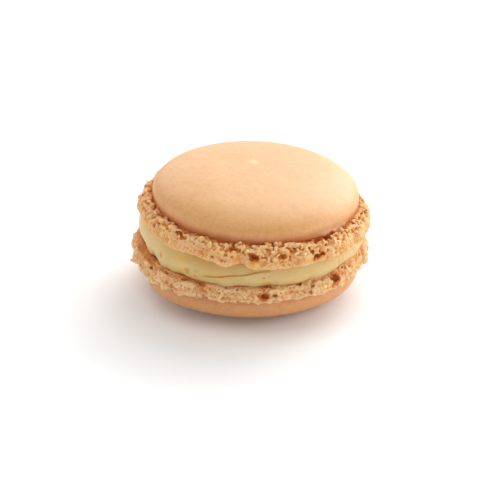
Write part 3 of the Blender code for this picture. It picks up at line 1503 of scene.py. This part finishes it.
        # Painted shade in the groove beside the cream.
        painted_pit_shade = painted_pit_shade + 0.42 * self._beside_cream(angle, radius) / MM * (places[:, 2] < 0.5 * self.height)
        out, up = self._middle()
        across = np.arctan2(places[:, 2] - up, radius - out) / TURN + 0.5
        flat = fold_map(angle, across, faces, 4)
        gold = np.zeros(len(places))
        for centre, reach, spot in self.placed:
            near = np.exp(-((np.linalg.norm(places - centre, axis=1) / reach) ** 4))
            gold = np.maximum(gold, spot.gold * near)
            # Painted shade inside each hole.
            if spot.mark is Mark.HOLE:
                painted_pit_shade = painted_pit_shade + spot.shade * near
        done = Skin(places, faces, {"painted_pit_shade": np.clip(painted_pit_shade, 0.0, 1.0), "gold": gold}, flat)
        log.info("%s: %d faces before thinning, %d after", self.name, count, len(faces))
        return done.as_object(self.name, seat.matrix())

    def _thinned(self, skin: Skin) -> tuple[np.ndarray, np.ndarray]:
        """Thin the faces of a skin.

        Args:
            skin: the skin.

        Returns:
            Its places and triangles after thinning.
        """
        draft = skin.as_object(self.name + "_draft", Matrix.Identity(4))
        thin = draft.modifiers.new("thin", "DECIMATE")
        thin.ratio = min(1.0, self.most_faces / (2 * len(skin.faces)))
        thin.use_collapse_triangulate = True
        graph = bpy.context.evaluated_depsgraph_get()
        mesh = bpy.data.meshes.new_from_object(draft.evaluated_get(graph))
        places = np.empty(len(mesh.vertices) * 3)
        mesh.vertices.foreach_get("co", places)
        places = places.reshape(-1, 3)
        faces = np.empty(len(mesh.polygons) * 3, np.int32)
        mesh.polygons.foreach_get("vertices", faces)
        faces = faces.reshape(-1, 3)
        old = draft.data
        bpy.data.objects.remove(draft)
        bpy.data.meshes.remove(old)
        bpy.data.meshes.remove(mesh)
        return places, faces

    def _pit_shade(self, block: RingBlock, steps: np.ndarray) -> np.ndarray:
        """Work out each place's painted shade, from how deeply it lies in pits and crevices.

        Args:
            block: the foam.
            steps: the places in grid steps.

        Returns:
            The shade of each place, from 0 on a crumb's tip to 1.
        """
        angle, radius, height = block.grids()
        dome = (radius < self.dome_radius) & (height < self.height + 4.0 * MM) & (angle < TURN)
        kept = block.field
        block.field = np.where(dome, -1.0, kept).astype(np.float32)
        close = block.read(block.crowding(2), steps)
        broad = block.read(block.crowding(6), steps)
        block.field = kept
        shade = 0.6 * close + 0.4 * broad
        return np.clip((shade - self.pit_low) / self.pit_range, 0.0, 1.0)


@dataclass(frozen=True)
class Dent:
    """A small mark in the cream's side: degrees round, share of its height, half sizes, depth."""

    angle: float
    share: float
    wide: float
    tall: float
    depth: float
    stain_and_painted_shade: float


@dataclass
class Cream:
    """The layer of cream, a wedge whose side shows the strokes that spread it.

    The slope is how fast its top falls to the right, and the lip how far the middle of its side
    stands out. Recesses are where its lower edge lies further in.
    """

    name: str
    node: str
    radius: float
    height: float
    slope: float
    lip: float
    recesses: tuple[Bulge, ...]
    dents: tuple[Dent, ...]
    fold_start: float = math.radians(243.0)
    fold_end: float = math.radians(278.0)
    seed: int = 31
    around: int = 900
    side_rings: int = 54

    def build(self, x: float, z: float) -> bpy.types.Object:
        """Turn the disc, mark its side and place it.

        Args:
            x: its middle.
            z: the height of its underside.

        Returns:
            The cream.
        """
        t = np.linspace(0.0, 1.0, self.side_rings)
        caps = np.array([0.93, 0.8, 0.4])
        ring_t = np.concatenate([np.zeros(3), t, np.ones(3)])
        ring_in = np.concatenate([caps[::-1], np.ones(len(t)), caps])
        a = np.arange(self.around) * TURN / self.around
        angle = np.tile(a, len(ring_t))
        share = np.repeat(ring_t, self.around)
        inner = np.repeat(ring_in, self.around)
        radius, stain_and_painted_shade = self._side(angle, share)
        r = radius * inner
        x0 = r * np.cos(angle)
        y0 = r * np.sin(angle)
        z0 = share * (self.height - self.slope * x0)
        places = np.stack([x0, y0, z0], axis=1)
        ends = np.array([[0.0, 0.0, 0.0], [0.0, 0.0, self.height]])
        places = np.concatenate([ends[:1], places, ends[1:]])
        faces = turned_faces(len(ring_t), self.around)[:, [0, 2, 1]]
        stain_and_painted_shade = np.concatenate([[0.0], stain_and_painted_shade * (inner == 1.0), [0.0]])
        order = np.repeat(np.linspace(0.05, 0.95, len(ring_t)), self.around)
        across = np.concatenate([[0.0], order, [1.0]])
        way = np.concatenate([[0.0], angle, [0.0]])
        flat = fold_map(way, across, faces, 4)
        skin = Skin(places, faces, {"stain_and_painted_shade": stain_and_painted_shade}, flat)
        return skin.as_object(self.name, Matrix.Translation((x, 0.0, z)))

    def _side(self, angle: np.ndarray, share: np.ndarray) -> tuple[np.ndarray, np.ndarray]:
        """Radius of the cream's side, and how much its stains and painted shade darken it.

        Args:
            angle: way round.
            share: share of the height.

        Returns:
            The radius, and how much stains and painted shade darken the side, for each place.
        """
        swell = np.sin(math.pi * share**0.85) ** 0.75
        r = self.radius - self.lip + self.lip * swell
        recess, _, _ = swelling(self.recesses, angle)
        r = r - recess * (1.0 - share) ** 1.3
        x = self.radius * np.cos(angle)
        y = self.radius * np.sin(angle)
        flat = np.stack([x, y, 4.0 * self.height * share], axis=1)
        noise = SmoothNoise(self.seed)
        r = r + 0.16 * MM * noise.at(flat, 7.0 * MM)
        r = r + 0.05 * MM * noise.at(flat * (0.4, 0.4, 1.0), 2.4 * MM)
        r = r + 0.02 * MM * noise.layers(flat * (1.0, 1.0, 0.5), 0.5 * MM, 2)
        r = r + 0.45 * MM * (1.0 - share) ** 3 * noise.layers(flat * (1.0, 1.0, 0.0), 2.6 * MM, 2)
        fold, stain_and_painted_shade = self._fold(angle, share)
        # Painted shade on the upper part of the side, under the upper shell, strongest at the front.
        shaded = 0.15 + 0.45 * Bulge(248.0, 24.0).share(angle)
        stain_and_painted_shade = np.maximum(stain_and_painted_shade, shaded * smooth_step(0.40, 0.90, share))
        r = r + fold
        for dent in self.dents:
            dx = angle_gap(angle, math.radians(dent.angle)) * self.radius / dent.wide
            dz = (share - dent.share) * self.height / dent.tall
            mark = np.exp(-((dx * dx + dz * dz) ** 2))
            r = r - dent.depth * mark
            # Each dent also darkens the cream about its middle.
            stain_and_painted_shade = np.maximum(stain_and_painted_shade, dent.stain_and_painted_shade * mark)
        return r, stain_and_painted_shade

    def _fold(self, angle: np.ndarray, share: np.ndarray) -> tuple[np.ndarray, np.ndarray]:
        """The thin slanting fold where one stroke of cream overlaps another.

        Args:
            angle: way round.
            share: share of the height.

        Returns:
            How far the side stands out, and the painted shade along the fold's crease and about it.
        """
        along = np.clip((angle - self.fold_start) / (self.fold_end - self.fold_start), 0.0, 1.0)
        line = 0.26 + 0.52 * along + 0.015 * np.sin(17.0 * along)
        below = (line - share) * self.height
        ends = smooth_step(0.0, 0.12, along) * (1.0 - smooth_step(0.88, 1.0, along))
        lip = smooth_step(-0.02 * MM, 0.06 * MM, below) * np.exp(-np.clip(below, 0.0, None) / (0.8 * MM))
        groove = np.exp(-(((below + 0.05 * MM) / (0.08 * MM)) ** 2))
        broken = 0.7 + 0.4 * np.sin(41.0 * along) * np.sin(23.0 * along + 1.0)
        # Painted shade in the fold's crease, broken along its length, and a fainter, broader painted
        # shade about it.
        crease = 0.90 * broken * np.exp(-(((below + 0.05 * MM) / (0.11 * MM)) ** 2))
        wide_crease_shade = 0.22 * np.exp(-(((below + 0.40 * MM) / (0.90 * MM)) ** 2))
        return ends * (0.26 * MM * lip - 0.20 * MM * groove), ends * (crease + wide_crease_shade)


# ---------------------------------------------------------------------------------------------
# The cookie and its stage


@dataclass
class Macaron:
    """The whole cookie: two shells and the cream between them, set out on the fixed frame.

    The lean is the upper shell's, the shifts are the shells' middles measured from the cream's,
    and press is how far the cream is pressed into each shell.
    """

    lean: float = math.radians(2.6)
    top_shift: float = 0.55 * MM
    base_shift: float = -0.3 * MM
    cream_height: float = 3.6 * MM
    press: float = 0.22 * MM
    top_ruffles: tuple[Ruffle, ...] = (
        (3, 0.20, 0.4),
        (7, 0.16, 1.9),
        (11, 0.18, 4.1),
        (17, 0.15, 2.2),
        (26, 0.12, 0.7),
    )
    bottom_ruffles: tuple[Ruffle, ...] = (
        (2, 0.16, 1.1),
        (5, 0.17, 3.0),
        (9, 0.20, 0.2),
        (16, 0.16, 5.1),
        (23, 0.14, 2.6),
    )

    def build(self) -> list[bpy.types.Object]:
        """Build every piece, dress it and tie it to the frame.

        Returns:
            The pieces.
        """
        _, base_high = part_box("bottom_shell")
        cream_low, cream_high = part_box("filling")
        middle = 0.5 * (cream_low[0] + cream_high[0])
        gap = cream_low[2] - base_high[2]
        seat_height = cream_low[2] + self.cream_height + gap
        under = Seat(middle + self.base_shift, base_high[2], 0.0, Shell.BOTTOM)
        over = Seat(middle + self.top_shift, seat_height, self.lean, Shell.TOP)
        return [
            self._dome_top(over),
            self._foot_top(over),
            self._cream(middle, base_high[2], seat_height),
            self._foot_bottom(under),
            self._dome_bottom(under),
        ]

    def _attach(
        self, piece: bpy.types.Object, material: bpy.types.Material, node: str
    ) -> bpy.types.Object:
        """Give a piece its finish and tie it to the frame.

        Args:
            piece: the piece.
            material: its finish.
            node: the plain solid that it stands for.

        Returns:
            The piece.
        """
        piece.data.materials.clear()
        piece.data.materials.append(material)
        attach(piece, "root")
        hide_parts(node)
        log.info("%s: %d faces", piece.name, len(piece.data.polygons))
        return piece

    def _dome_top(self, seat: Seat) -> bpy.types.Object:
        """Make the upper dome, which shows from above.

        Args:
            seat: where the shell sits.

        Returns:
            The dome.
        """
        dome = Dome(
            name="top_dome",
            node="top_shell",
            radius=19.5 * MM,
            foot_height=4.2 * MM,
            rise=4.5 * MM,
            power=2.85,
            # The piping bag's little peak, which also carries a painted highlight.
            nib_and_highlight=(-0.45 * MM, 4.75 * MM, 0.8 * MM, 0.85 * MM),
            flakes=(Bulge(313.0, 9.0, push=0.45), Bulge(325.0, 4.0, push=0.25)),
        )
        look = BakedSkin("peach_skin")
        return self._attach(dome.build(seat), look.material(), dome.node)

    def _dome_bottom(self, seat: Seat) -> bpy.types.Object:
        """Make the lower dome, which the cookie rests on.

        Args:
            seat: where the shell sits.

        Returns:
            The dome.
        """
        dome = Dome(
            name="bottom_dome",
            node="bottom_shell",
            radius=20.7 * MM,
            foot_height=3.2 * MM,
            rise=5.1 * MM,
            power=3.1,
            wall=1.2 * MM,
            flat=6.5 * MM,
            bulges=(
                Bulge(-326.0, 20.0, push=0.25),
                Bulge(-216.0, 18.0, push=0.45),
                Bulge(-270.0, 22.0, push=-0.25),
            ),
            seed=8,
        )
        look = BakedSkin(
            "brown_skin",
            pale=(0.665, 0.325, 0.13),
            warm=(0.615, 0.285, 0.11),
            freckle=(0.55, 0.21, 0.07),
            lower_painted_light=(0.665, 0.325, 0.13),
            roughness=0.50,
        )
        return self._attach(dome.build(seat), look.material(), dome.node)

    def _foot_top(self, seat: Seat) -> bpy.types.Object:
        """Make the upper foot, crumbly along its ridge.

        Args:
            seat: where the shell sits.

        Returns:
            The foot.
        """
        spots = (
            Spot(269.4, 6.0, (0.82, 0.95, 0.62), 0.40, shade=0.55),
            Spot(268.0, 27.0, (0.55, 0.55, 0.36), 0.15),
            Spot(283.0, 14.0, (0.80, 0.75, 0.55), 0.30, shade=0.35),
            Spot(285.2, 20.0, (0.42, 0.40, 0.34), 0.10),
            Spot(258.7, 62.0, (0.85, 0.60, 0.55), 0.20, shade=0.25),
            Spot(301.1, -24.0, (0.85, 0.80, 0.48), 0.30, shade=0.45),
            Spot(303.9, -8.0, (0.60, 0.65, 0.40), 0.25, shade=0.40),
            Spot(299.3, -36.0, (0.40, 0.28, 0.30), 0.02),
            Spot(305.0, 103.0, (0.90, 0.60, 0.80), 0.30, shade=0.45),
            Spot(309.5, 103.0, (0.95, 0.60, 0.80), 0.30, shade=0.45),
            Spot(314.0, 103.0, (0.90, 0.50, 0.70), 0.30, shade=0.45),
            Spot(319.0, 55.0, (0.30, 0.21, 0.34), 0.02),
            Spot(228.7, 67.0, (1.00, 0.55, 0.50), 0.20, shade=0.25),
            Spot(197.5, 40.0, (0.38, 0.28, 0.38), 0.02),
            Spot(220.5, 54.0, (0.38, 0.24, 0.30), 0.02),
            Spot(211.7, 29.0, (0.45, 0.28, 0.60), 0.00),
            Spot(263.9, 40.0, (0.32, 0.24, 0.28), 0.02),
            Spot(255.8, 15.0, (0.38, 0.28, 0.38), 0.02),
            Spot(258.8, 0.0, (0.30, 0.24, 0.30), 0.02),
            Spot(254.4, -16.0, (0.28, 0.21, 0.22), 0.02),
            Spot(253.4, 34.0, (0.40, 0.21, 0.35), 0.00),
            Spot(275.3, 3.0, (0.32, 0.24, 0.24), 0.02),
            Spot(277.5, -8.0, (0.25, 0.17, 0.18), 0.02),
            Spot(283.8, 90.0, (0.40, 0.28, 0.40), 0.02),
            Spot(279.5, 44.0, (0.24, 0.21, 0.24), 0.02),
            Spot(289.0, 45.0, (0.45, 0.40, 0.45), 0.10),
            Spot(287.0, 8.0, (0.24, 0.21, 0.24), 0.02),
            Spot(283.5, -38.0, (0.18, 0.17, 0.18), 0.02),
            Spot(242.9, 60.0, (0.24, 0.17, 0.22), 0.02),
            Spot(249.3, 50.0, (0.20, 0.15, 0.20), 0.02),
            Spot(250.3, 28.0, (0.24, 0.18, 0.24), 0.02),
            Spot(249.5, -9.0, (0.32, 0.24, 0.22), 0.02),
            Spot(234.0, -13.0, (0.17, 0.10, 0.17), 0.02),
            Spot(238.9, 33.0, (0.15, 0.14, 0.12), 0.02),
            Spot(253.6, 38.0, (0.34, 0.20, 0.32), 0.00),
            Spot(241.5, 78.0, (0.50, 0.45, 0.42), 0.10, Mark.CRUMB, 0.9),
            Spot(259.5, 33.0, (0.45, 0.40, 0.35), 0.10, Mark.CRUMB, 0.8),
            Spot(251.5, 8.0, (0.32, 0.25, 0.30), 0.10, Mark.CRUMB, 0.7),
            Spot(270.5, -32.0, (0.70, 0.45, 0.50), 0.15, Mark.CRUMB, 0.7),
            Spot(214.5, 68.0, (0.50, 0.45, 0.40), 0.10, Mark.CRUMB, 0.4),
            Spot(222.0, 72.0, (0.45, 0.40, 0.40), 0.10, Mark.CRUMB, 0.3),
        )
        foot = Foot(
            name="top_foot",
            node="top_shell",
            dome_radius=19.5 * MM,
            outer=22.1 * MM,
            height=4.2 * MM,
            ruffles=self.top_ruffles,
            bulges=(
                Bulge(330.0, 26.0, 0.50, -0.70, -0.75),
                Bulge(20.0, 30.0, -1.45, -1.2, -0.3),
                Bulge(147.0, 23.0, -1.00, -0.80, 0.1),
                Bulge(226.0, 6.5, 0.15, 0.0, -0.85),
                Bulge(278.0, 12.0, 0.05, 0.0, -1.05),
                Bulge(303.0, 9.0, 0.1, 0.0, -0.30),
                Bulge(269.5, 3.5, 0.25, 0.0, -0.35),
                Bulge(262.6, 3.2, -0.50, 0.0, 0.20),
                Bulge(256.0, 4.5, 0.15, 0.0, -0.45),
            ),
            spots=spots,
            smooth_stretches=(
                Bulge(232.0, 22.0, upper=1.3),
                Bulge(247.0, 8.0, upper=0.7),
                Bulge(262.5, 4.0, upper=0.8),
                Bulge(192.0, 20.0, upper=0.9),
                Bulge(162.0, 22.0, upper=1.4),
                Bulge(338.0, 26.0, upper=1.2),
            ),
            crumble=Crumble(
                start=0.4 * MM,
                outward=0.45,
                wander=0.6 * MM,
                crumb=1.00 * MM,
                depth=0.75 * MM,
                band_depth=0.16 * MM,
                clump=0.48 * MM,
                nodules=500,
                pits=190,
                pores=450,
                ridge=220,
            ),
            groove=0.60 * MM,
            groove_width=0.60 * MM,
            seat_groove=0.0,
            seat_groove_in=(),
            groove_changes=(
                Bulge(250.0, 13.0, upper=0.45, lower=0.25),
                Bulge(311.0, 10.0, upper=0.50, lower=0.25),
            ),
            fall=-0.7 * MM,
            power=3.2,
            flip=False,
            seed=40,
            cream_radius=21.5 * MM,
        )
        look = TornCrumb("torn_crumb")
        return self._attach(foot.build(seat), look.material(), foot.node)

    def _foot_bottom(self, seat: Seat) -> bpy.types.Object:
        """Make the lower foot, which hangs over the lower dome.

        Args:
            seat: where the shell sits.

        Returns:
            The foot.
        """
        spots = (
            Spot(276.7, -4.0, (0.85, 0.75, 0.58), 0.30, shade=0.8),
            Spot(274.4, -14.0, (0.34, 0.24, 0.30), 0.02),
            Spot(281.7, -20.0, (0.60, 0.35, 0.25), 0.05),
            Spot(315.7, -40.0, (1.00, 1.10, 0.75), 0.45, shade=0.9),
            Spot(312.8, -52.0, (0.50, 0.50, 0.40), 0.15),
            Spot(300.9, -52.0, (0.38, 0.27, 0.33), 0.02),
            Spot(309.5, -9.0, (0.40, 0.24, 0.40), 0.02),
            Spot(308.0, -32.0, (0.30, 0.21, 0.25), 0.02),
            Spot(278.2, -106.0, (0.80, 0.36, 0.60), 0.10, shade=0.35),
            Spot(295.0, -106.0, (0.60, 0.36, 0.50), 0.10, shade=0.3),
            Spot(258.0, -95.0, (0.36, 0.21, 0.26), 0.02),
            Spot(245.0, -105.0, (1.10, 0.34, 0.50), 0.05, shade=0.3),
            Spot(235.5, -105.0, (0.70, 0.34, 0.50), 0.05, shade=0.3),
            Spot(263.5, -82.0, (0.20, 0.15, 0.20), 0.02),
            Spot(250.0, -80.0, (0.26, 0.18, 0.24), 0.02),
            Spot(255.2, -43.0, (0.24, 0.18, 0.22), 0.02),
            Spot(229.3, 30.0, (0.50, 0.35, 0.60), 0.00),
        )
        foot = Foot(
            name="bottom_foot",
            node="bottom_shell",
            dome_radius=20.7 * MM,
            outer=22.4 * MM,
            height=3.2 * MM,
            ruffles=self.bottom_ruffles,
            bulges=(
                Bulge(-190.0, 34.0, -0.30, 1.15, 1.05),
                Bulge(-342.0, 30.0, -0.40, 1.65, 1.05),
                Bulge(-270.0, 30.0, -0.05, -0.10, -0.10),
                Bulge(-208.0, 12.0, 0.0, 0.0, -0.5),
                Bulge(-214.0, 12.0, 0.15, 1.05, 0.0),
                Bulge(-248.0, 9.0, 0.0, 0.0, -0.3),
                Bulge(-279.0, 4.0, 0.1, 0.25, 0.0),
                Bulge(-292.0, 10.0, 0.0, 0.0, -0.2),
            ),
            spots=spots,
            smooth_stretches=(Bulge(-198.0, 20.0, upper=-2.2), Bulge(-335.0, 26.0, upper=-1.8)),
            crumble=Crumble(
                start=0.9 * MM,
                outward=0.0,
                wander=1.2 * MM,
                crumb=1.10 * MM,
                depth=0.36 * MM,
                band_depth=0.16 * MM,
                clump=0.45 * MM,
                nodules=120,
                pits=120,
                pores=600,
                ridge=0,
            ),
            groove=0.0,
            groove_width=0.6 * MM,
            seat_groove=0.15 * MM,
            seat_groove_in=(
                Bulge(-198.0, 26.0, push=0.45, upper=0.55, lower=0.0),
                Bulge(-340.0, 18.0, push=0.2, upper=0.30, lower=0.0),
            ),
            groove_changes=(),
            fall=0.0,
            power=2.6,
            flip=True,
            seed=60,
            cream_radius=21.3 * MM,
        )
        look = TornCrumb(
            "torn_crumb_base",
            pale=(0.775, 0.535, 0.285),
            mid=(0.65, 0.325, 0.12),
            deep=(0.51, 0.15, 0.03),
        )
        return self._attach(foot.build(seat), look.material(), foot.node)

    def _cream(self, x: float, low: float, high: float) -> bpy.types.Object:
        """Make the cream between the shells.

        Args:
            x: its middle.
            low: the height of the lower shell's seat.
            high: the height of the upper shell's seat.

        Returns:
            The cream.
        """
        cream = Cream(
            name="filling_cream",
            node="filling",
            radius=21.45 * MM,
            height=high - low + 2.0 * self.press,
            slope=math.tan(self.lean),
            lip=0.75 * MM,
            recesses=(Bulge(200.0, 24.0, push=0.65), Bulge(338.0, 14.0, push=0.2)),
            dents=(
                Dent(208.7, 0.20, 0.70 * MM, 0.70 * MM, 0.14 * MM, 0.9),
                Dent(217.7, 0.52, 0.50 * MM, 0.70 * MM, 0.12 * MM, 0.9),
                Dent(236.1, 0.35, 0.58 * MM, 0.66 * MM, 0.14 * MM, 1.0),
                Dent(241.5, 0.46, 0.40 * MM, 0.34 * MM, 0.06 * MM, 0.6),
                Dent(240.7, 0.24, 0.45 * MM, 0.26 * MM, 0.08 * MM, 0.9),
                Dent(275.9, 0.485, 0.18 * MM, 0.18 * MM, 0.18 * MM, 1.0),
                Dent(268.6, 0.23, 0.14 * MM, 0.14 * MM, 0.12 * MM, 0.6),
                Dent(291.5, 0.60, 0.30 * MM, 0.12 * MM, 0.05 * MM, 0.4),
                Dent(277.6, 0.72, 0.50 * MM, 0.34 * MM, -0.42 * MM, 0.0),
                Dent(318.5, 0.50, 0.22 * MM, 1.20 * MM, 0.12 * MM, 0.25),
                Dent(322.5, 0.55, 0.40 * MM, 1.00 * MM, -0.12 * MM, 0.0),
            ),
        )
        look = SpreadCream("butter_cream")
        return self._attach(cream.build(x, low - self.press), look.material(), cream.node)


@dataclass(frozen=True)
class Lamp:
    """A soft square light that points at the cookie.

    The azimuth is the way to it in degrees from +X towards +Y, and the elevation is how high it
    hangs, in degrees. The power is in watts.
    """

    name: str
    azimuth: float
    elevation: float
    power: float
    size: float = 0.38


@dataclass
class Studio:
    """A pale floor, soft lights and the camera.

    The distance is from the camera to the target and the reach from the lamps to it, in metres.
    The lens is in millimetres.
    """

    target: tuple[float, float, float] = (-0.3 * MM, 0.0, 6.08 * MM)
    distance: float = 0.57
    elevation: float = math.radians(27.7)
    lens: float = 216.0
    reach: float = 0.6
    floor_half: float = 1.5
    room_light: float = 0.12
    lamps: tuple[Lamp, ...] = (
        Lamp("window", 60.0, 25.0, 2.45),
        Lamp("window_top", 60.0, 50.0, 1.1),
        Lamp("right", 20.0, 25.0, 1.45),
        Lamp("right_front", -20.0, 25.0, 1.35),
        Lamp("back", 100.0, 25.0, 1.2),
        Lamp("back_left", 140.0, 25.0, 0.5),
        Lamp("left", 180.0, 25.0, 0.85),
        Lamp("ceiling", 180.0, 75.0, 0.8),
        Lamp("front", -100.0, 12.0, 1.1),
    )

    def build(self) -> None:
        """Set the stage."""
        bpy.context.scene.view_settings.view_transform = "Standard"
        self._floor()
        self._camera()
        for lamp in self.lamps:
            self._light(lamp)
        self._world()

    def _floor(self) -> None:
        """Lay the floor under the cookie."""
        around = ((-1.0, -1.0), (1.0, -1.0), (1.0, 1.0), (-1.0, 1.0))
        places = np.array([[self.floor_half * x, self.floor_half * y, 0.0] for x, y in around])
        floor = Skin(places, np.array([[0, 1, 2, 3]])).as_object("floor", Matrix.Identity(4))
        floor.data.materials.append(PaleFloor().material())

    def _camera(self) -> None:
        """Set up the camera."""
        data = bpy.data.cameras.new("camera")
        data.sensor_width = 36.0
        data.lens = self.lens
        data.clip_start = 0.01
        data.clip_end = 10.0
        camera = bpy.data.objects.new("camera", data)
        away = Vector((0.0, -math.cos(self.elevation), math.sin(self.elevation)))
        camera.location = Vector(self.target) + self.distance * away
        camera.rotation_euler = away.to_track_quat("Z", "Y").to_euler()
        bpy.context.scene.collection.objects.link(camera)
        bpy.context.scene.camera = camera

    def _light(self, lamp: Lamp) -> None:
        """Hang one lamp.

        Args:
            lamp: the lamp.
        """
        data = bpy.data.lights.new(lamp.name, "AREA")
        data.size = lamp.size
        data.energy = lamp.power
        light = bpy.data.objects.new(lamp.name, data)
        turn, rise = math.radians(lamp.azimuth), math.radians(lamp.elevation)
        flat = math.cos(rise)
        away = Vector((flat * math.cos(turn), flat * math.sin(turn), math.sin(rise)))
        light.location = Vector(self.target) + self.reach * away
        light.rotation_euler = away.to_track_quat("Z", "Y").to_euler()
        bpy.context.scene.collection.objects.link(light)

    def _world(self) -> None:
        """Fill the room with even, pale light."""
        world = bpy.data.worlds.new("room")
        world.use_nodes = True
        background = world.node_tree.nodes["Background"]
        background.inputs["Color"].default_value = (1.0, 1.0, 1.0, 1.0)
        background.inputs["Strength"].default_value = self.room_light
        bpy.context.scene.world = world


def main() -> None:
    """Build the cookie and its stage, and report each piece."""
    logging.basicConfig(level=logging.INFO, format="%(name)s: %(message)s")
    Studio().build()
    for piece in Macaron().build():
        log.info("placed %s", piece.name)


if __name__ == "__main__":
    main()
